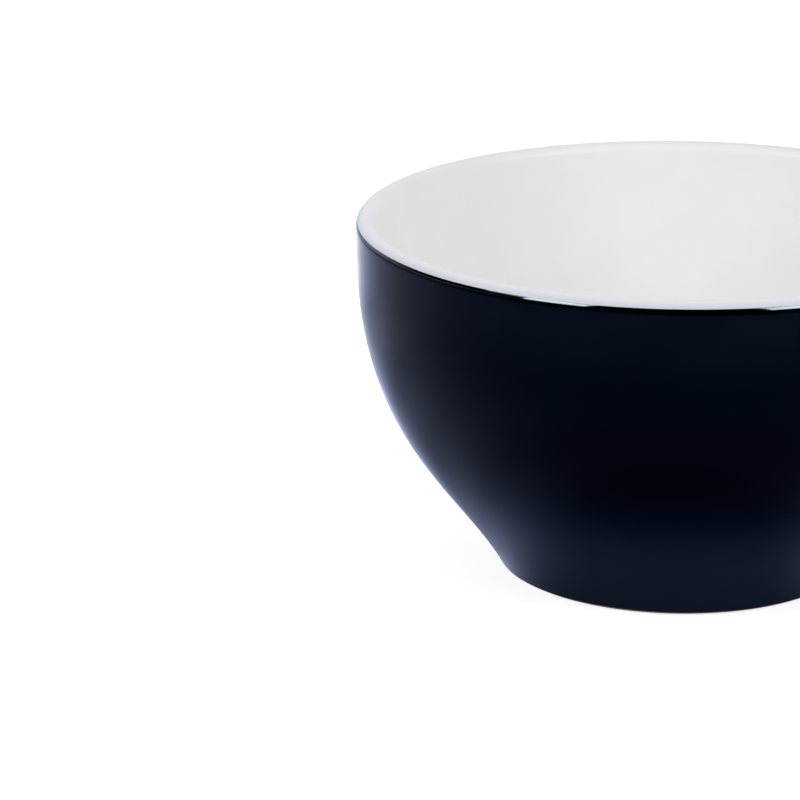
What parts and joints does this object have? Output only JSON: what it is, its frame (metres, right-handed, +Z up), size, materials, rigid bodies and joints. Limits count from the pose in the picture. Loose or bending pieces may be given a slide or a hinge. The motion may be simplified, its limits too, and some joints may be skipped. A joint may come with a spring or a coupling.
{
  "type": "latte bowl",
  "caption": "Handleless rounded stoneware bowl for milk coffee, navy glaze outside, white glaze inside and over the lip, on a low foot ring.",
  "frame": {"origin": "centre of the foot ring's resting face", "axes": "+Z up along the bowl's axis of turning; the bowl is round, so X and Y may point anywhere"},
  "size_m": [0.12, 0.12, 0.0665],
  "materials": {
    "bare_clay": "unglazed, fine grained, matt",
    "navy_glaze": "smooth dark navy glaze, satin to gloss",
    "white_glaze": "smooth white gloss glaze"
  },
  "bodies": {
    "root": {"clay_body": "bare_clay", "outer_glaze": "navy_glaze", "inner_glaze": "white_glaze", "foot_well_glaze": "navy_glaze"}
  },
  "joints": []
}
